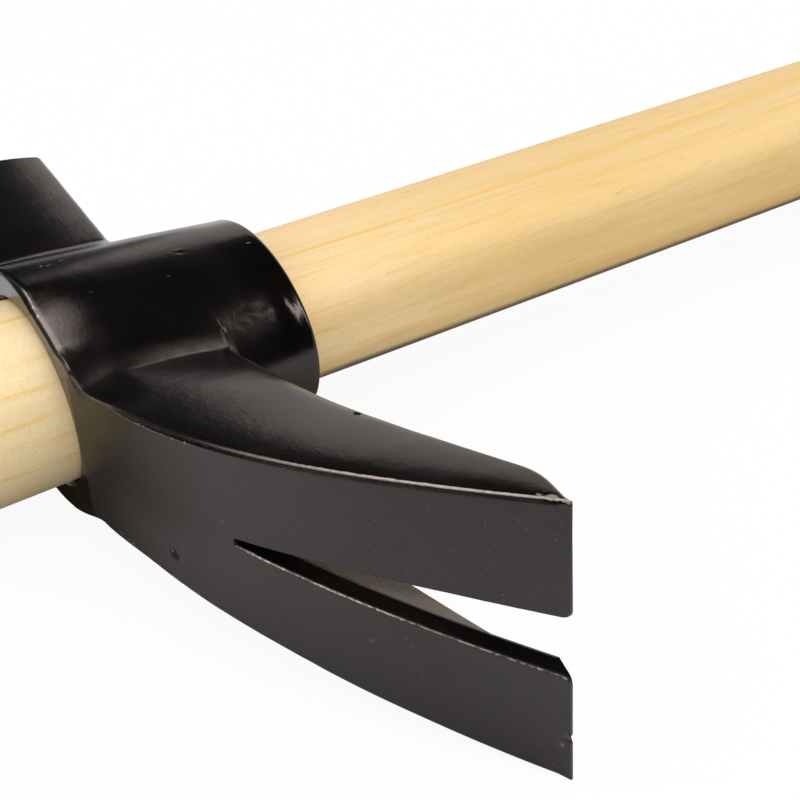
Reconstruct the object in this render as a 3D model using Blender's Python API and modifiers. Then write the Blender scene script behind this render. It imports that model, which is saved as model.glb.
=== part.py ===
"""A carpenter's hammer lying on its side: a forged one-piece head on a slip-fit wooden handle.

The head has an oval tapered eye, a square poll that flares to its striking face, and a curved claw that widens
to a chisel edge and is split by a countersunk nail notch. The handle is thickest at its top end, so that the head,
slid on from the grip end, wedges near the top.

Metres. The origin is the middle of the handle's top end face. +X runs along the handle to its grip end, +Y out
through the striking face, -Y along the claw, and +Z across the claw."""

import math

import bmesh
import bpy
from mathutils import Matrix, Vector

# Handle
HANDLE_LENGTH = 0.360
HANDLE_PROUD = 0.025  # how far it stands out above the eye
HANDLE_TOP_HALF = (0.0189, 0.0166)  # half sizes in Y and Z at the top end
HANDLE_NECK_HALF = (0.0185, 0.0162)  # where it enters the eye
HANDLE_SHAFT_HALF = (0.0171, 0.0119)  # from the foot of the eye to the grip end
HANDLE_TOP_SQUARENESS = 2.05  # 2 is an ellipse, more is squarer
HANDLE_SHAFT_SQUARENESS = 3.0
HANDLE_TOP_CHAMFER = 0.0015
HANDLE_BUTT_ROUND = 0.0045
EYE_GAP = 0.0003  # between the handle and the eye's bore

# Eye, an oval tapered barrel around the handle
EYE_LENGTH = 0.0448
EYE_TOP_HALF = (0.0280, 0.0217)  # outer half sizes in Y and Z
EYE_FOOT_HALF = (0.0231, 0.0179)
EYE_RIM_ROUND = 0.0009
EYE_MOUTH_FLARE = 0.0007  # easing of the bore's two mouths

# Poll
POLL_REACH = 0.0685  # from the handle's axis to the striking face
POLL_ROOT_DEPTH = 0.0216  # size along X at the handle's axis
POLL_FACE_DEPTH = 0.0300  # and at the striking face
POLL_ROOT_HALF_WIDTH = 0.0168
POLL_FACE_HALF_WIDTH = 0.0148
POLL_CROWN = 0.0020  # how far its sides bulge outwards in the middle, at the striking face
POLL_EDGE_ROUND = 0.0010
POLL_FACE_CHAMFER = 0.0014
POLL_BLEND = 0.0040  # how far the poll's sides run up the barrel

# Claw
CLAW_REACH = 0.1095  # from the handle's axis to the edge
CLAW_START = 0.0200  # where its front face leaves the plane of the eye's top end
CLAW_SWEEP = 0.0325  # how far the edge is swept towards the grip
CLAW_SWEEP_SHAPE = 1.237  # over 1 bends more near the root
CLAW_ROOT_THICKNESS = 0.0290
CLAW_TIP_THICKNESS = 0.0046  # without the edge's bevel
CLAW_THINNING = 0.516  # share of the thinning that is even along the claw
CLAW_ROOT_HALF_WIDTH = 0.0135
CLAW_TIP_HALF_WIDTH = 0.0239
CLAW_WIDENING_SHAPE = 1.712
CLAW_ROOT_DRAFT = 0.0045  # how much narrower the root is at its rear than at its front
CLAW_CROWN = 0.0004  # how far its sides bulge outwards in the middle
CLAW_EDGE_ROUND = 0.0008
CLAW_BLEND = 0.0052  # how far the claw's sides run up the barrel
CLAW_BEVEL_LENGTH = 0.0130  # rounded bevel behind the edge
CLAW_BEVEL_FULLNESS = 2.35
CLAW_EDGE_THICKNESS = 0.0004

# Nail notch
NOTCH_START = 0.0616  # from the handle's axis to the notch's apex
NOTCH_TIP_HALF_GAP = 0.0051
NOTCH_APEX_HALF_GAP = 0.0006
NOTCH_BULGE = 0.13  # how much its sides bow outwards from a straight V
NOTCH_LAND = 0.0037  # depth of its straight flanks, before the recess
NOTCH_CORNER_ROUND = 0.0012  # of the prongs' inner corners
RECESS_HALF_WIDTH = 0.0111  # of the notch's wide mouth in the claw's rear face
RECESS_END_REACH = 0.0085  # how far its rounded end reaches past the notch's apex
RECESS_LEAST_DEPTH = 0.0008  # how far it lies behind the flanks where the claw is thin
RECESS_OVERCUT = 0.0003  # how far it is cut past the rear face

# Mesh fineness
EYE_SEGMENTS = 72
HANDLE_SEGMENTS = 48
ACROSS_STEPS = 7
CORNER_STEPS = 2
SUNK = 0.00006  # how far a blended root lies under the barrel's surface where the blend has ended
ROOT_SUNK = 0.0020  # and how far its first section does

BLACK_ENAMEL = ((0.016, 0.014, 0.013), 0.34, 0.0)
PALE_WOOD = ((0.80, 0.61, 0.36), 0.48, 0.0)


def clear_scene():
    for thing in list(bpy.data.objects):
        bpy.data.objects.remove(thing)


def new_collection(name):
    collection = bpy.data.collections.new(name)
    bpy.context.scene.collection.children.link(collection)
    return collection


def new_material(name, colour, roughness, metallic):
    material = bpy.data.materials.new(name)
    material.use_nodes = True
    shader = material.node_tree.nodes["Principled BSDF"]
    shader.inputs["Base Color"].default_value = (*colour, 1.0)
    shader.inputs["Roughness"].default_value = roughness
    shader.inputs["Metallic"].default_value = metallic
    return material


def new_object(name, bm, collection, material=None):
    bmesh.ops.recalc_face_normals(bm, faces=bm.faces[:])
    mesh = bpy.data.meshes.new(name)
    bm.to_mesh(mesh)
    bm.free()
    made = bpy.data.objects.new(name, mesh)
    collection.objects.link(made)
    if material:
        mesh.materials.append(material)
    return made


def as_helper(made):
    made.hide_render = True
    made.display_type = "WIRE"
    return made


def loft(rings):
    """A closed skin over rings of equal length, with a flat cap on the first and the last."""
    bm = bmesh.new()
    rows = [[bm.verts.new(point) for point in ring] for ring in rings]
    for row, following in zip(rows, rows[1:]):
        for i in range(len(row)):
            j = (i + 1) % len(row)
            bm.faces.new((row[i], row[j], following[j], following[i]))
    bm.faces.new(rows[0])
    bm.faces.new(rows[-1])
    return bm


def mix(a, b, share):
    return a + (b - a) * share


def smooth_max(a, b, reach):
    """The larger of a and b, blended where they differ by less than reach."""
    return max(a, b) + max(reach - abs(a - b), 0.0) ** 2 / (4 * reach)


def spaced(start, end, steps):
    return [mix(start, end, i / steps) for i in range(steps + 1)]


# The handle


def handle_section(x):
    """The handle's half sizes in Y and Z, and its squareness, at a distance x from its top end."""
    eye_foot = HANDLE_PROUD + EYE_LENGTH
    if x <= HANDLE_PROUD:
        share = x / HANDLE_PROUD
        sizes = [mix(a, b, share) for a, b in zip(HANDLE_TOP_HALF, HANDLE_NECK_HALF)]
        return (*sizes, HANDLE_TOP_SQUARENESS)
    share = min((x - HANDLE_PROUD) / EYE_LENGTH, 1.0) if x < eye_foot else 1.0
    sizes = [mix(a, b, share) for a, b in zip(HANDLE_NECK_HALF, HANDLE_SHAFT_HALF)]
    return (*sizes, mix(HANDLE_TOP_SQUARENESS, HANDLE_SHAFT_SQUARENESS, share))


def rounded_oval(x, half_y, half_z, squareness):
    """A superellipse around the handle's axis."""
    ring = []
    for i in range(HANDLE_SEGMENTS):
        angle = 2 * math.pi * i / HANDLE_SEGMENTS
        y, z = math.cos(angle), math.sin(angle)
        y = math.copysign(abs(y) ** (2 / squareness), y)
        z = math.copysign(abs(z) ** (2 / squareness), z)
        ring.append(Vector((x, half_y * y, half_z * z)))
    return ring


def handle_ring(x, outwards=0.0):
    half_y, half_z, squareness = handle_section(x)
    return rounded_oval(x, half_y + outwards, half_z + outwards, squareness)


def make_handle(collection, material):
    eye_foot = HANDLE_PROUD + EYE_LENGTH
    rings = [handle_ring(0.0, -HANDLE_TOP_CHAMFER), handle_ring(HANDLE_TOP_CHAMFER)]
    rings += [handle_ring(x) for x in spaced(HANDLE_PROUD, eye_foot, 6)]
    straight_end = HANDLE_LENGTH - HANDLE_BUTT_ROUND
    rings += [handle_ring(x) for x in spaced(eye_foot, straight_end, 5)[1:]]
    for angle in spaced(0.0, math.pi / 2, 5)[1:]:
        along = straight_end + HANDLE_BUTT_ROUND * math.sin(angle)
        rings.append(handle_ring(along, HANDLE_BUTT_ROUND * (math.cos(angle) - 1)))
    return new_object("handle", loft(rings), collection, material)


# The eye


def eye_half_sizes(depth):
    """The barrel's outer half sizes in Y and Z, at a depth below its top end."""
    return [mix(a, b, depth / EYE_LENGTH) for a, b in zip(EYE_TOP_HALF, EYE_FOOT_HALF)]


def barrel_height(depth, y):
    """Z of the barrel's upper surface, and 0 beside the barrel."""
    half_y, half_z = eye_half_sizes(depth)
    return half_z * math.sqrt(max(1 - (y / half_y) ** 2, 0.0))


def make_barrel(collection, material):
    """A cylinder along X, drawn out to an oval at each end."""
    bm = bmesh.new()
    bmesh.ops.create_cone(
        bm,
        cap_ends=True,
        segments=EYE_SEGMENTS,
        radius1=1.0,
        radius2=1.0,
        depth=EYE_LENGTH,
        matrix=Matrix.Rotation(math.pi / 2, 4, "Y"),
    )
    for vertex in bm.verts:
        depth = 0.0 if vertex.co.x < 0 else EYE_LENGTH
        half_y, half_z = eye_half_sizes(depth)
        vertex.co = (HANDLE_PROUD + depth, vertex.co.y * half_y, vertex.co.z * half_z)
    barrel = new_object("head", bm, collection, material)
    rims = barrel.modifiers.new("round the rims", "BEVEL")
    rims.width = EYE_RIM_ROUND
    rims.segments = 2
    rims.limit_method = "ANGLE"
    rims.angle_limit = math.radians(50)
    return barrel


def make_bore(collection):
    """The hole for the handle: the handle's own taper with a gap all round, eased at both mouths."""
    top, foot = HANDLE_PROUD, HANDLE_PROUD + EYE_LENGTH
    past = 2 * EYE_MOUTH_FLARE
    rings = [handle_ring(top - past, EYE_GAP + EYE_MOUTH_FLARE + past)]
    rings.append(handle_ring(top + EYE_MOUTH_FLARE, EYE_GAP))
    rings += [handle_ring(x, EYE_GAP) for x in spaced(top, foot, 6)[1:-1]]
    rings.append(handle_ring(foot - EYE_MOUTH_FLARE, EYE_GAP))
    rings.append(handle_ring(foot + past, EYE_GAP + EYE_MOUTH_FLARE + past))
    return as_helper(new_object("eye_bore", loft(rings), collection))


# The poll and the claw, each a loft of sections across Y


def arm_section(y, front, rear, half_front, half_rear, crown, blend, edge_round, sunk):
    """A ring across one arm at y: its upper side blended into the barrel, its long edges rounded.

    front and rear are depths below the eye's top end, and half_front and half_rear the half widths there,
    with the side between them bulging outwards by crown."""
    radius = min(edge_round, 0.45 * (rear - front), 0.45 * half_rear)

    def height(depth):
        share = (depth - front) / (rear - front)
        side = mix(half_front, half_rear, share) + crown * (1 - (2 * share - 1) ** 2)
        return smooth_max(barrel_height(depth, y) - SUNK, side, blend) - sunk

    upper = []
    for angle in spaced(0.0, math.pi / 2, CORNER_STEPS):
        depth = front + radius * (1 - math.cos(angle))
        upper.append((depth, height(depth) - radius * (1 - math.sin(angle))))
    for depth in spaced(front + radius, rear - radius, ACROSS_STEPS)[1:-1]:
        upper.append((depth, height(depth)))
    for angle in spaced(math.pi / 2, 0.0, CORNER_STEPS):
        depth = rear - radius * (1 - math.cos(angle))
        upper.append((depth, height(depth) - radius * (1 - math.sin(angle))))
    ring = [Vector((HANDLE_PROUD + depth, y, z)) for depth, z in upper]
    return ring + [Vector((point.x, point.y, -point.z)) for point in reversed(ring)]


def poll_section(y, inwards=0.0, sunk=0.0):
    share = y / POLL_REACH
    half = mix(POLL_ROOT_HALF_WIDTH, POLL_FACE_HALF_WIDTH, share) - inwards
    rear = mix(POLL_ROOT_DEPTH, POLL_FACE_DEPTH, share) - inwards
    crown = POLL_CROWN * share
    return arm_section(y, inwards, rear, half, half, crown, POLL_BLEND, POLL_EDGE_ROUND, sunk)


def make_poll(collection):
    blend_end = 1.15 * EYE_TOP_HALF[0]
    rings = [poll_section(0.0, sunk=ROOT_SUNK)]
    rings += [poll_section(y) for y in spaced(0.06 * EYE_TOP_HALF[0], blend_end, 19)]
    rings += [poll_section(y) for y in spaced(blend_end, POLL_REACH - POLL_FACE_CHAMFER, 4)[1:]]
    rings.append(poll_section(POLL_REACH, POLL_FACE_CHAMFER))
    return as_helper(new_object("poll_blank", loft(rings), collection))


def claw_share(y):
    """0 where the claw's front face starts to curve, and 1 at its edge."""
    return (-y - CLAW_START) / (CLAW_REACH - CLAW_START)


def claw_front(y):
    """Depth of the broad front face below the eye's top end."""
    share = max(claw_share(y), 0.0)
    return CLAW_SWEEP * (CLAW_SWEEP_SHAPE * share**2 - (CLAW_SWEEP_SHAPE - 1) * share**3)


def blank_thickness(y):
    """The claw's thickness before its edge is bevelled."""
    share = claw_share(y)
    thinning = CLAW_THINNING * share + (1 - CLAW_THINNING) * share * abs(share)
    return mix(CLAW_ROOT_THICKNESS, CLAW_TIP_THICKNESS, thinning)


def claw_thickness(y):
    thickness = blank_thickness(y)
    from_edge = (y + CLAW_REACH) / CLAW_BEVEL_LENGTH
    if from_edge >= 1:
        return thickness
    fullness = 1 - (1 - max(from_edge, 0.0)) ** CLAW_BEVEL_FULLNESS
    return mix(CLAW_EDGE_THICKNESS, thickness, fullness)


def claw_section(y, sunk=0.0):
    share = max(claw_share(y), 0.0)
    widening = CLAW_WIDENING_SHAPE * share**2 - (CLAW_WIDENING_SHAPE - 1) * share**3
    half_front = mix(CLAW_ROOT_HALF_WIDTH, CLAW_TIP_HALF_WIDTH, widening)
    half_rear = half_front - CLAW_ROOT_DRAFT * (1 - share) ** 2
    front = claw_front(y)
    rear = front + claw_thickness(y)
    return arm_section(
        y, front, rear, half_front, half_rear, CLAW_CROWN, CLAW_BLEND, CLAW_EDGE_ROUND, sunk
    )


def make_claw(collection):
    blend_end = 1.25 * EYE_TOP_HALF[0]
    bevel_start = CLAW_REACH - CLAW_BEVEL_LENGTH
    root = 0.3 * EYE_TOP_HALF[0]
    distances = spaced(root, blend_end, 17)
    distances += spaced(blend_end, bevel_start, 16)[1:]
    distances += spaced(bevel_start, CLAW_REACH, 7)[1:]
    rings = [claw_section(-0.8 * root, ROOT_SUNK)]
    rings += [claw_section(-distance) for distance in distances]
    return as_helper(new_object("claw_blank", loft(rings), collection))


def notch_half_gap(distance):
    """Half the gap between the prongs at a distance from the handle's axis."""
    share = (distance - NOTCH_START) / (CLAW_REACH - NOTCH_START)
    opening = share + NOTCH_BULGE * share * (1 - share)
    half_gap = mix(NOTCH_APEX_HALF_GAP, NOTCH_TIP_HALF_GAP, opening)
    into_corner = distance - (CLAW_REACH - NOTCH_CORNER_ROUND)
    if into_corner <= 0:
        return half_gap
    into_corner = min(into_corner, NOTCH_CORNER_ROUND)
    return half_gap + NOTCH_CORNER_ROUND - math.sqrt(NOTCH_CORNER_ROUND**2 - into_corner**2)


def notch_ring(depth_at, half_gap_at, end_reach):
    """A ring of the notch's cutter: its two sides from past the claw's edge to the apex, and its rounded end.

    depth_at gives the depth behind the claw's front face, and half_gap_at half the width, at a distance from
    the handle's axis. end_reach is how far the end reaches past the apex."""
    past = CLAW_REACH + 0.3 * NOTCH_TIP_HALF_GAP
    corner = CLAW_REACH - NOTCH_CORNER_ROUND
    distances = [past] + spaced(CLAW_REACH, corner, 3) + spaced(corner, NOTCH_START, 14)[1:]
    side = [(distance, half_gap_at(min(distance, CLAW_REACH))) for distance in distances]
    end_half = half_gap_at(NOTCH_START)
    for angle in spaced(0.0, math.pi / 2, 8)[1:]:
        side.append((NOTCH_START - end_reach * math.sin(angle), end_half * math.cos(angle)))
    outline = side + [(distance, -half) for distance, half in reversed(side[:-1])]
    return [
        Vector((HANDLE_PROUD + claw_front(-distance) + depth_at(distance), -distance, half))
        for distance, half in outline
    ]


def recess_depth(distance):
    """Depth of the recess's mouth behind the front face: just past the rear face, before the edge's bevel."""
    return max(blank_thickness(-distance) + RECESS_OVERCUT, NOTCH_LAND + RECESS_LEAST_DEPTH)


def make_notch(collection):
    """Straight flanks from the front face down to the land's depth, then the recess that opens to the rear face."""

    def flank(depth):
        return notch_ring(lambda distance: depth, notch_half_gap, NOTCH_APEX_HALF_GAP)

    def recess(extra):
        return notch_ring(
            lambda distance: recess_depth(distance) + extra,
            lambda distance: RECESS_HALF_WIDTH,
            RECESS_END_REACH,
        )

    clear = 0.5 * CLAW_ROOT_THICKNESS
    rings = [flank(-clear), flank(NOTCH_LAND), recess(0.0), recess(clear)]
    return as_helper(new_object("nail_notch", loft(rings), collection))


def add_boolean(target, operation, other):
    boolean = target.modifiers.new(f"{operation.lower()} {other.name}", "BOOLEAN")
    boolean.operation = operation
    boolean.object = other
    boolean.solver = "EXACT"


def make_head(collection, helpers, material):
    head = make_barrel(collection, material)
    claw = make_claw(helpers)
    add_boolean(claw, "DIFFERENCE", make_notch(helpers))
    add_boolean(head, "UNION", make_poll(helpers))
    add_boolean(head, "UNION", claw)
    add_boolean(head, "DIFFERENCE", make_bore(helpers))
    return head


def main():
    clear_scene()
    parts = new_collection("carpenters_hammer")
    helpers = new_collection("cutters")
    head = make_head(parts, helpers, new_material("black_enamel", *BLACK_ENAMEL))
    handle = make_handle(parts, new_material("pale_wood", *PALE_WOOD))
    for piece in (head, handle):
        piece.data.shade_smooth()
        piece.data.set_sharp_from_angle(angle=math.radians(32))


main()
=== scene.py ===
import math

import bmesh
import bpy
import numpy as np
from mathutils import Matrix, Vector


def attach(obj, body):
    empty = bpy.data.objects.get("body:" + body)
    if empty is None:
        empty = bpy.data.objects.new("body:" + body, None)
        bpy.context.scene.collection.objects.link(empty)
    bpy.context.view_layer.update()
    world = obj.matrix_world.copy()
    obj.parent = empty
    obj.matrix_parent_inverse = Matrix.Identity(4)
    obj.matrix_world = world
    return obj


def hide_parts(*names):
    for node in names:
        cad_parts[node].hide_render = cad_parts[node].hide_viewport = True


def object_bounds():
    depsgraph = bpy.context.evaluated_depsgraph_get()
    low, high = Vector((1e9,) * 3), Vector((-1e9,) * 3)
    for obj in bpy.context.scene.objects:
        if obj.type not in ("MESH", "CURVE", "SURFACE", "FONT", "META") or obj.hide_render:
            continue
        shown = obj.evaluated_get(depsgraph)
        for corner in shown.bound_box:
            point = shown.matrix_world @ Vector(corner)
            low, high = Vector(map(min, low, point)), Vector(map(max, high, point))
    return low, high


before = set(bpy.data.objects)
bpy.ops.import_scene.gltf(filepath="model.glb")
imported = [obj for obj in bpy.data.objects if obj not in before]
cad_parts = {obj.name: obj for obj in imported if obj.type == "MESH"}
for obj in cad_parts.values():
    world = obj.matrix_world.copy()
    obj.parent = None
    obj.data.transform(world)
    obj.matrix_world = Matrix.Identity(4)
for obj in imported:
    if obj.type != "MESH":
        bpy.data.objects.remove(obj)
cad_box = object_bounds()

# Everything is in the row frame, in metres. depth is how far below the eye's top end a point is, along X.

# Handle, as in the CAD model
HANDLE_LENGTH = 0.360
HANDLE_PROUD = 0.025
HANDLE_TOP_HALF = (0.0189, 0.0166)
HANDLE_NECK_HALF = (0.0185, 0.0162)
HANDLE_SHAFT_HALF = (0.0171, 0.0119)
HANDLE_TOP_SQUARENESS = 2.05
HANDLE_SHAFT_SQUARENESS = 3.0
HANDLE_GRIP_SQUARENESS = 3.4
HANDLE_GRIP_SHARE = 0.975  # below the head it is squarer, and this much thinner to keep its outline
HANDLE_GRIP_START = 0.03  # metres from the eye's foot to where that is reached
HANDLE_TOP_CHAMFER = 0.0015
HANDLE_BUTT_ROUND = 0.0045
EYE_GAP = 0.0003

# Eye
EYE_LENGTH = 0.0448
EYE_TOP_HALF = (0.0280, 0.0217)
EYE_FOOT_HALF = (0.0231, 0.0179)
EYE_RIM_ROUND = 0.0009
EYE_MOUTH_FLARE = 0.0007
EYE_BENT_DEPTH = 0.005  # down to this depth the eye's top end follows the bend of the claw's front face

# Poll
POLL_REACH = 0.0685
POLL_ROOT_DEPTH = 0.0216
POLL_FACE_DEPTH = 0.0300
POLL_ROOT_HALF_WIDTH = 0.0168
POLL_FACE_HALF_WIDTH = 0.0148
POLL_CROWN = 0.0020
POLL_EDGE_ROUND = 0.0010
POLL_FACE_CHAMFER = 0.0014
POLL_BLEND = 0.0020

# Claw
CLAW_REACH = 0.1095
CLAW_START = 0.0200
CLAW_SWEEP = 0.0325
CLAW_SWEEP_SHAPE = 1.237
CLAW_ROOT_THICKNESS = 0.0290
CLAW_TIP_THICKNESS = 0.0046
CLAW_THINNING = 0.516
CLAW_ROOT_HALF_WIDTH = 0.0135
CLAW_TIP_HALF_WIDTH = 0.0239
CLAW_WIDENING_SHAPE = 1.712
CLAW_ROOT_DRAFT = 0.0045
CLAW_CROWN = 0.0009
CLAW_CROWNED_THICKNESS = 0.015  # thinner than this, the claw is less crowned
CLAW_EDGE_ROUND = 0.0008
CLAW_REAR_ROUND_NEAR_EYE = 0.0022
CLAW_REAR_ROUND_FADES = (0.022, 0.036)  # distances from the handle's axis, as all of these pairs are
CLAW_BLEND = 0.0052
CLAW_TIGHT_BLEND = 0.5  # share of it at the upper side's front, and the depth where the whole is reached
CLAW_TIGHT_DEPTH = 0.012
CLAW_FULLEST = 0.6
CLAW_REAR_BULGE = 0.5
CLAW_LATE_DRAFT = 0.5
CLAW_LATE_DRAFT_STARTS = (0.026, 0.050)
CLAW_LATE_DRAFT_SHAPE = 24
CLAW_BEVEL_LENGTH = 0.0130
CLAW_BEVEL_FULLNESS = 2.35
CLAW_EDGE_THICKNESS = 0.0004

# Nail notch
NOTCH_START = 0.0616
NOTCH_TIP_HALF_GAP = 0.0051
NOTCH_APEX_HALF_GAP = 0.0006
NOTCH_BULGE = 0.13
NOTCH_LAND = 0.0037
NOTCH_CORNER_ROUND = 0.0012
RECESS_HALF_WIDTH = 0.0111
RECESS_END_REACH = 0.0085
RECESS_LEAST_DEPTH = 0.0008
RECESS_OVERCUT = 0.0003
RECESS_SLACK = 0.0002

# What forging and grinding left uneven, seen in the photograph
NOTCH_BEND = 0.0004  # the notch's middle line bows this far towards +Z
ROOT_UPPER_SHIFT = -0.0003  # the claw's root is this much narrower at its upper side
ROOT_CORNER_SHIFT = -0.0014  # and this much more at the corner beside the eye's rim
ROOT_LOWER_SHIFT = 0.0013  # and this much wider at its lower side
ROOT_SHIFTS_FADE = (0.024, 0.040)
ROOT_CORNER_DEPTH = 0.0090
NOTCH_CHAMFER = 0.0002  # worn edge along the notch's front
NOTCH_RAGGED = 0.0011  # length of the unevenness in it
NOTCH_UNEVEN = 0.5
NOTCH_SEED = 5
# depths and insets of the four stops across each bevel
CLAW_EDGE_NEAR_EYE = ((0, 0.00004, 0.00050, 0.00058), (0.00085, 0.00070, 0.00003, 0))
CLAW_EDGE_NEAR_TIP = ((0, 0.00003, 0.00022, 0.00070), (0.00095, 0.00080, 0.00012, 0))
CLAW_EDGE_TURNS = (0.040, 0.075)
CLAW_EDGE_MOST = 0.4  # of the claw's thickness
RIM_BEVEL = ((0, 0.00005, 0.00050, 0.00085), (0.00150, 0.00130, 0.00012, 0))
BEVEL_STOPS = (0, 0.25, 0.8, 1)  # where the stops lie along a corner
CORNER_STEPS = 9
# angles round the eye in degrees, 0 on its upper side and 90 on the claw's, between which something
# rises from nothing to full and falls back to nothing
RIM_BEVEL_AROUND = (-6, 12, 40, 47)
SHOULDER_AROUND = (6, 24, 36, 50)
DRESSED_AROUND = (2, 14, 36, 46)
RIM_LINE_AROUND = (4, 14, 40, 46)
DULL_RIM_AROUND = (-10, 2, 44, 52)
UNDER_CLAW_UPPER = (30, 36)  # and angles from the claw's, up to which its front face covers the rim
UNDER_CLAW_LOWER = (35, 41)
SHOULDER_LENGTH, SHOULDER_DROP, SHOULDER_SHAPE = 0.0098, 0.0021, 1.5  # along part of the eye's top rim
SHOULDER_INSIDE = 0.0035  # how far inside the barrel's surface it fades out
BARREL_OUTSIDE = 1.03  # half sizes of the eye, beyond which a point is on an arm
# depths of strips along the rim, and the least half sizes of the eye at which they lie outwards
DRESSED_DEPTH, DRESSED_OUT = (0.0005, 0.0009, 0.0015, SHOULDER_LENGTH), 0.9
RIM_LINE_DEPTH, RIM_LINE_WIDTH, RIM_LINE_OUT = 0.0006, 0.00014, 0.84
DULL_RIM_DEPTH, DULL_RIM_OUT = (0.0, 0.00006, 0.00042, 0.00056), 0.8
FREE_OF_BORE = (0.0008, 0.0022)  # distances from the bore between which the surface starts to move
WAVES = ((0.00007, 0.017), (0.00003, 0.006), (0.000012, 0.0022))  # heights and sizes, on all of the head
HAMMERED_WAVES = ((0.00010, (0.0019, 0.0012, 0.0012)), (0.00005, (0.0010, 0.0006, 0.0006)))
HAMMERED_PLACE = (0.0605, -0.0190, 0.0115)
HAMMERED_RADIUS = (0.0075, 0.0060, 0.0060)
DULL_CORNER_PLACE = (0.0285, -0.0246, 0.0126)  # where the claw's side meets the eye's rim
DULL_CORNER_RADIUS = (0.0095, 0.0055, 0.0060)
RIDGE_PLACE = (0.0662, -0.0188, 0.0102)  # soft ridge beside the eye's foot
RIDGE_RADIUS = (0.0028, 0.0085, 0.0085)
RIDGE_HEIGHT = 0.00034
CREASE_OFFSET, CREASE_WIDTH = 0.0007, 0.0007  # painted highlight along the crease beside the poll
CREASE_STARTS = (0.0005, 0.003)  # depths
# share of that painted highlight along the claw's fillet
FILLET_HIGHLIGHT = 0.4
FILLET_STRIP = (-0.98, -0.84, -0.75, 0.35)  # heights over the claw's side, in fillet sizes
FILLET_OUTWARDS = 0.012  # least distance from the handle's axis
FILLET_STARTS = (0.006, 0.020)  # depths
FRONT_FACE_DEPTH, FRONT_FACE_MARGIN = 0.0003, 0.0009

MM = 1000  # to the metre
MARK_STEP = 0.00012
MARK_PASSES = 4
MARK_MARGIN = 1.3
MARK_UNEVEN = 0.5
MARK_UNEVEN_SIZE = 0.6  # of its smallest radius
MARK_SEED = 20
MARK_WORN = (0.25, 0.6)  # shares of a mark's lift over which bare metal comes in
MARK_DARK = (0.1, 0.5)  # and over which a pit's darkness does
BARE_AT_MOST, PIT_AT_LEAST = 0.2, 0.0001  # a pit is less bare and deeper than this
# nicks, pits and chips: place, radii and how far the surface is lifted, in mm, and how bare it is worn
MARKS_IN_MM = (
    ((54.52, -3.41, 18.96), (1.0, 0.7, 0.7), -0.1, 0.0),
    ((54.4, -2.3, 19.05), (1.2, 0.5, 0.5), 0.05, 0.05),
    ((66.97, -5.21, 17.69), (0.8, 0.3, 0.3), -0.06, 0.25),
    ((31.4, 3.33, 21.04), (0.6, 0.4, 0.4), 0.08, 0.25),
    ((32.6, 3.0, 21.0), (0.5, 0.3, 0.3), 0.06, 0.25),
    ((35.6, 3.97, 20.61), (0.4, 0.3, 0.3), 0.08, 0.15),
    ((35.27, -8.95, 19.67), (0.4, 0.3, 0.3), 0.08, 0.15),
    ((49.31, -9.26, 18.22), (0.4, 0.3, 0.3), 0.08, 0.1),
    ((52.5, -66.3, 17.4), (0.7, 0.9, 0.9), -0.45, 0.0),
    ((28.38, -46.83, -9.04), (1.1, 1.9, 1.9), -0.16, 0.0),
    ((28.38, -46.4, -8.5), (0.5, 0.5, 0.5), 0.12, 0.5),
    ((28.85, -48.62, -2.74), (0.6, 0.8, 0.8), -0.06, 0.0),
    ((47.5, -92.9, -16.97), (0.5, 0.4, 0.5), -0.2, 0.1),
    ((32.14, -59.41, 3.22), (0.3, 0.3, 0.3), 0.06, 0.15),
    ((42.38, -83.33, -8.65), (0.3, 0.3, 0.3), 0.06, 0.15),
    ((52.98, -102.13, 15.92), (0.3, 0.3, 0.3), 0.06, 0.15),
    ((57.34, -109.3, -16.01), (1.2, 0.9, 1.0), -0.5, 0.2),
    ((56.86, -108.52, -17.43), (0.5, 0.5, 0.5), -0.2, 0.3),
    ((55.55, -105.56, 23.65), (1.2, 1.6, 0.6), -0.08, 0.5),
    ((56.4, -107.13, 23.75), (1.5, 2.0, 0.8), -0.12, 0.6),
    ((57.29, -109.03, 23.85), (1.2, 1.4, 0.8), -0.12, 0.6),
)
MARKS = [(np.array(place) / MM, np.array(radii) / MM, lift / MM, bare)
         for place, radii, lift, bare in MARKS_IN_MM]

SUNK = 0.000006  # how far one skin lies under another that covers it
ROOT_SUNK = 0.0020  # and an arm's first ring under the barrel's
APART = 1e-7  # keeps rings apart that would coincide
ARM_ROUND_MOST = 0.45  # an arm's long edges are no rounder than this share of its thickness or width
POLL_STEPS = (34, 38)  # mesh steps across an arm's side and its front face
CLAW_STEPS = (38, 66)
CLAW_FINE_TIP = 0.0025  # length with closer rings
CLAW_FIRST_RING = 0.3  # where its rings start inside the barrel, as a share of the eye's half size
CLAW_SUNK_RING = 0.8  # and its sunk ring, as a share of that
POLL_FIRST_RING = 0.0015
NOTCH_PAST_TIP = 0.3  # how far the notch runs past the tip, as a share of its half gap
FLANKS_APART = 40  # keeps the notch's two flanks apart in the noise
CAP_CENTRE = 0.04  # size of an end cap's innermost ring, as a share of the end's
SHARP = math.radians(40)
FAR_OFF = 0.02  # distances to the claw's edges are stored up to this
JUST_PAST = 0.001  # a point this far past an edge still counts as on the near side


def mix(a, b, share):
    return a + (b - a) * share


def mix_each(firsts, seconds, share):
    return [mix(a, b, share) for a, b in zip(firsts, seconds)]


def smooth_max(a, b, reach):
    return np.maximum(a, b) + np.maximum(reach - np.abs(a - b), 0.0) ** 2 / (4 * reach)


def smooth_step(low, high, value):
    share = np.clip((value - low) / (high - low), 0.0, 1.0)
    return share * share * (3 - 2 * share)


def window(value, rise, full, fade, gone):
    """Rises smoothly from 0 at rise to 1 at full, and falls back from fade to gone."""
    return smooth_step(rise, full, value) * (1 - smooth_step(fade, gone, value))


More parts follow.
